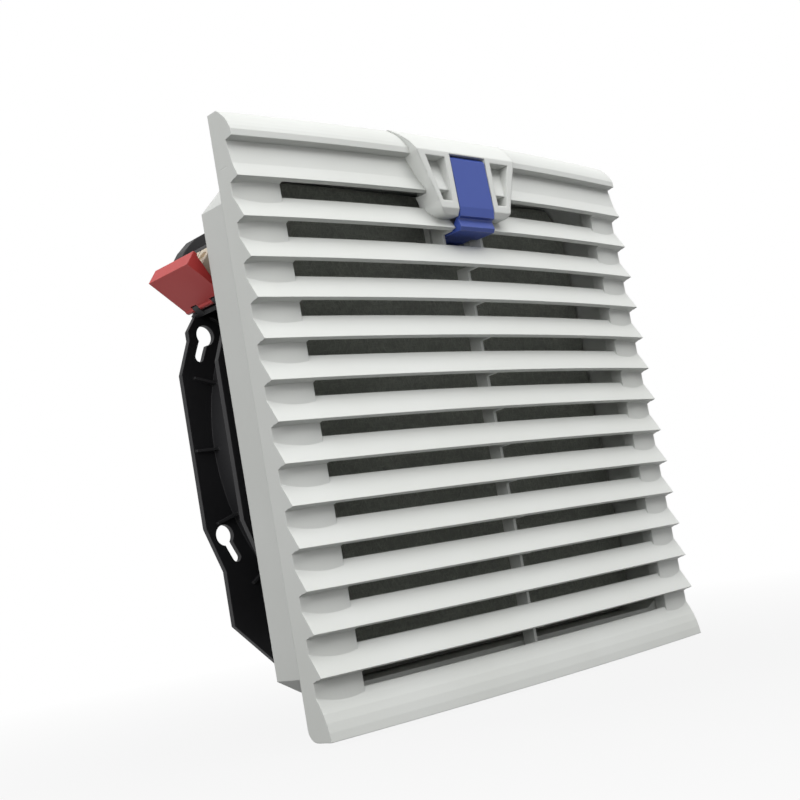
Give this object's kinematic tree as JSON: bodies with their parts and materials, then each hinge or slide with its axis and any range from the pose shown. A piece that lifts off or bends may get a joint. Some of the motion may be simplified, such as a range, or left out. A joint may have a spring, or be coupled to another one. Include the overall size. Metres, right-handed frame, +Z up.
{
  "type": "cabinet filter fan",
  "caption": "Square cabinet filter fan: louvred front panel that hinges open with a push latch, filter mat, mounting box and an axial fan on a bayonet with a covered terminal.",
  "frame": {"origin": "middle of the door's cut-out, on the door's outer face where the gasket rests", "axes": "+X to the right as seen from the front, +Y into the cabinet along the fan axis, +Z up"},
  "size_m": [0.255, 0.1232, 0.255],
  "materials": {
    "grey_plastic": "fine matt moulding",
    "blue_plastic": "satin moulding",
    "black_plastic": "satin moulding",
    "red_plastic": "satin moulding",
    "beige_plastic": "matt moulding",
    "filter_fibre": "loose fibre",
    "gasket_foam": "closed foam",
    "black_rubber": "matt",
    "bright_steel": "ground",
    "spring_steel": "zinc plated",
    "cast_aluminium": "die cast",
    "painted_cup": "satin paint",
    "copper_wire": "enamelled",
    "brass_screw": "plain"
  },
  "bodies": {
    "frame": {"mounting_frame": "grey_plastic", "door_gasket": "gasket_foam", "snap_clips": "grey_plastic", "hinge_pins": "bright_steel", "bayonet_studs": "bright_steel", "filter_mat": "filter_fibre"},
    "grille": {"louvre_grille": "grey_plastic", "grip_frame": "grey_plastic", "latch_pin": "bright_steel", "latch_spring": "spring_steel"},
    "latch": {"latch": "blue_plastic"},
    "fan": {"fan_housing": "black_plastic", "rear_guard": "black_plastic", "guard_screws": "spring_steel", "motor_flange": "cast_aluminium", "motor_screws": "spring_steel", "stator_core": "spring_steel", "stator_windings": "copper_wire", "ball_bearings": "bright_steel", "lead_grommet": "black_rubber", "motor_lead": "black_rubber", "terminal_block": "beige_plastic", "terminal_screws": "brass_screw", "cover_pin": "bright_steel"},
    "rotor": {"impeller": "black_plastic", "rotor_cup": "painted_cup", "motor_shaft": "bright_steel", "shaft_circlip": "spring_steel"},
    "cover": {"terminal_cover": "red_plastic"}
  },
  "joints": [
    {"name": "grille_hinge", "type": "hinge", "parent": "frame", "child": "grille", "pos_m": [0, -0.0057, -0.1223], "axis": [1, 0, 0], "range_deg": [0, 60]},
    {"name": "latch_press", "type": "hinge", "parent": "grille", "child": "latch", "pos_m": [0, -0.0195, 0.1127], "axis": [1, 0, 0], "range_deg": [0, 8], "stiffness_Nm_per_rad": 0.05, "springref_deg": -14.9},
    {"name": "fan_twist", "type": "hinge", "parent": "frame", "child": "fan", "pos_m": [0, 0.0567, 0], "axis": [0, -1, 0], "range_deg": [0, 6]},
    {"name": "fan_spin", "type": "hinge", "parent": "fan", "child": "rotor", "pos_m": [0, 0.0567, 0], "axis": [0, 1, 0], "continuous": true},
    {"name": "terminal_cover_swing", "type": "hinge", "parent": "fan", "child": "cover", "pos_m": [-0.09989, 0.0567, 0.06551], "axis": [0, -1, 0], "range_deg": [0, 90]}
  ]
}
